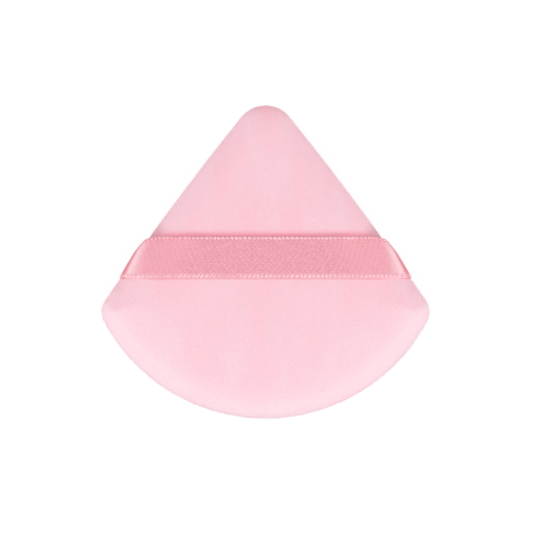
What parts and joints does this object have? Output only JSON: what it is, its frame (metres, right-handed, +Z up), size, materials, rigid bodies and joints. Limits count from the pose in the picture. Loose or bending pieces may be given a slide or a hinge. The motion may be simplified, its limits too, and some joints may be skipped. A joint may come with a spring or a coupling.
{
  "type": "powder puff",
  "caption": "Fan-shaped padded velour powder puff with a rounded apex, a round base, a turned sewn edge and a satin ribbon across the front for the fingers.",
  "frame": {"origin": "centre of the bounding box, on the flat of the powder side that the puff rests on", "axes": "+X across the puff along the ribbon, +Y towards the apex, +Z up from the powder side to the ribbon side"},
  "size_m": [0.075, 0.0716, 0.0126],
  "materials": {
    "velour": "short cut pile, matt with a soft sheen",
    "satin_ribbon": "woven satin with whipped edges",
    "sponge": "open-cell foam",
    "thread": "twisted polyester"
  },
  "bodies": {
    "pad": {"front_velour": "velour", "back_velour": "velour", "sponge_core": "sponge", "needle_thread": "thread", "bobbin_thread": "thread", "closing_thread": "thread"},
    "finger_band": {"finger_ribbon": "satin_ribbon"}
  },
  "joints": [
    {"name": "ribbon_lift", "type": "slide", "parent": "pad", "child": "finger_band", "axis": [0, 0, 1], "range_m": [0, 0.008], "deforming": ["finger_ribbon"]}
  ]
}
